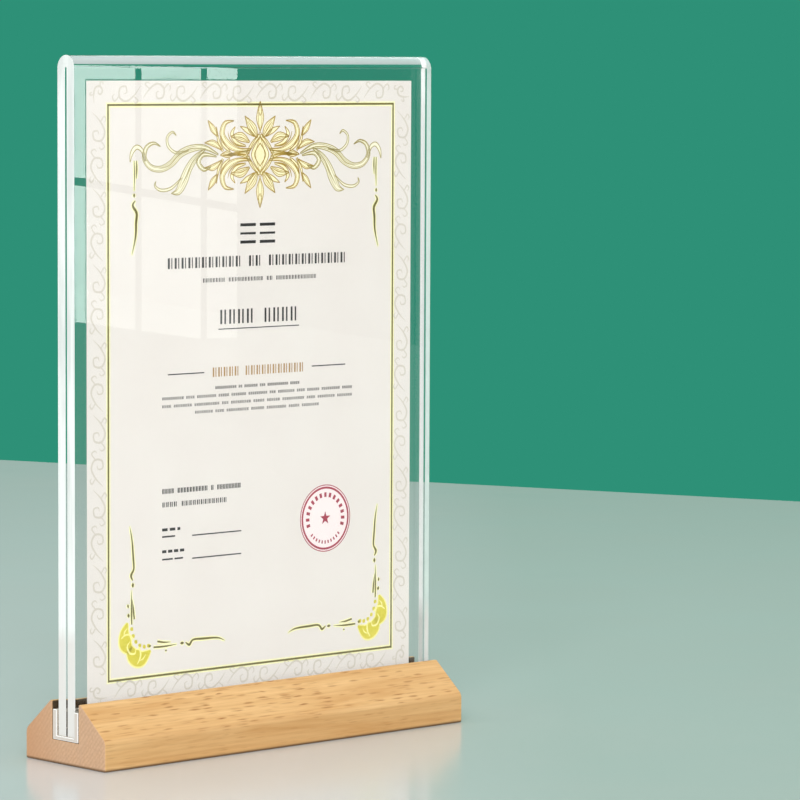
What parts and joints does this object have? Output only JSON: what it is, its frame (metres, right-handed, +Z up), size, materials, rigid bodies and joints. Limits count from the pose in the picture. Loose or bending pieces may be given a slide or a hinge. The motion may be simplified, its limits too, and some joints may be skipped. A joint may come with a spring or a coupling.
{
  "type": "acrylic sign holder",
  "caption": "Upright sign holder: a clear folded acrylic sleeve shows a printed sheet and stands in a lined slot along a sloped wooden base.",
  "frame": {"origin": "centre of the wooden base's underside, on the surface that the stand rests on", "axes": "+X along the base, to the viewer's right; -Y is the front, which the printed face looks at; +Z up"},
  "size_m": [0.233, 0.06, 0.3365],
  "materials": {
    "beech": "fine-sanded beech with a thin clear oil finish",
    "clear_channel": "clear extruded plastic, slightly milky",
    "clear_acrylic": "clear cast acrylic with polished edges",
    "printed_card": "matt white card, printed on the front"
  },
  "bodies": {
    "base": {"wood_base": "beech", "slot_liner": "clear_channel"},
    "sleeve": {"acrylic_sleeve": "clear_acrylic"},
    "insert": {"insert_sheet": "printed_card"}
  },
  "joints": [
    {"name": "sleeve_lift", "type": "slide", "parent": "base", "child": "sleeve", "axis": [0, 0, 1], "range_m": [0, 0.06]},
    {"name": "insert_slide", "type": "slide", "parent": "sleeve", "child": "insert", "axis": [1, 0, 0], "range_m": [-0.24, 0.24]}
  ]
}
